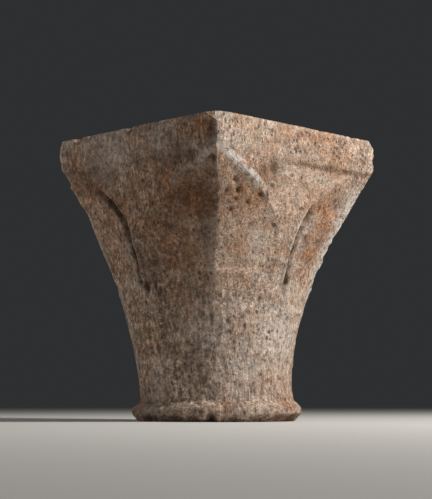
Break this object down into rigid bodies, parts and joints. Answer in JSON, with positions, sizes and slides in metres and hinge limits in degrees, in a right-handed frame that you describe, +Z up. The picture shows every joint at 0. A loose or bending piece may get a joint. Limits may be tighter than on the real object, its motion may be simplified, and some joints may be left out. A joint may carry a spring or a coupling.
{
  "type": "gothic capital",
  "caption": "Small carved limestone capital: ringed round neck flaring to a square abacus, with a broad plain leaf folded along each corner.",
  "frame": {"origin": "middle of the lower bed, where the capital stands on its shaft", "axes": "+Z up along the shaft's axis, +X and +Y square to two faces of the abacus; the corner at +X -Y is the one the picture shows nearest"},
  "size_m": [0.243, 0.243, 0.3],
  "materials": {
    "limestone": "claw-tooled porous limestone, weathered, matt"
  },
  "bodies": {
    "root": {"capital": "limestone"}
  },
  "joints": []
}
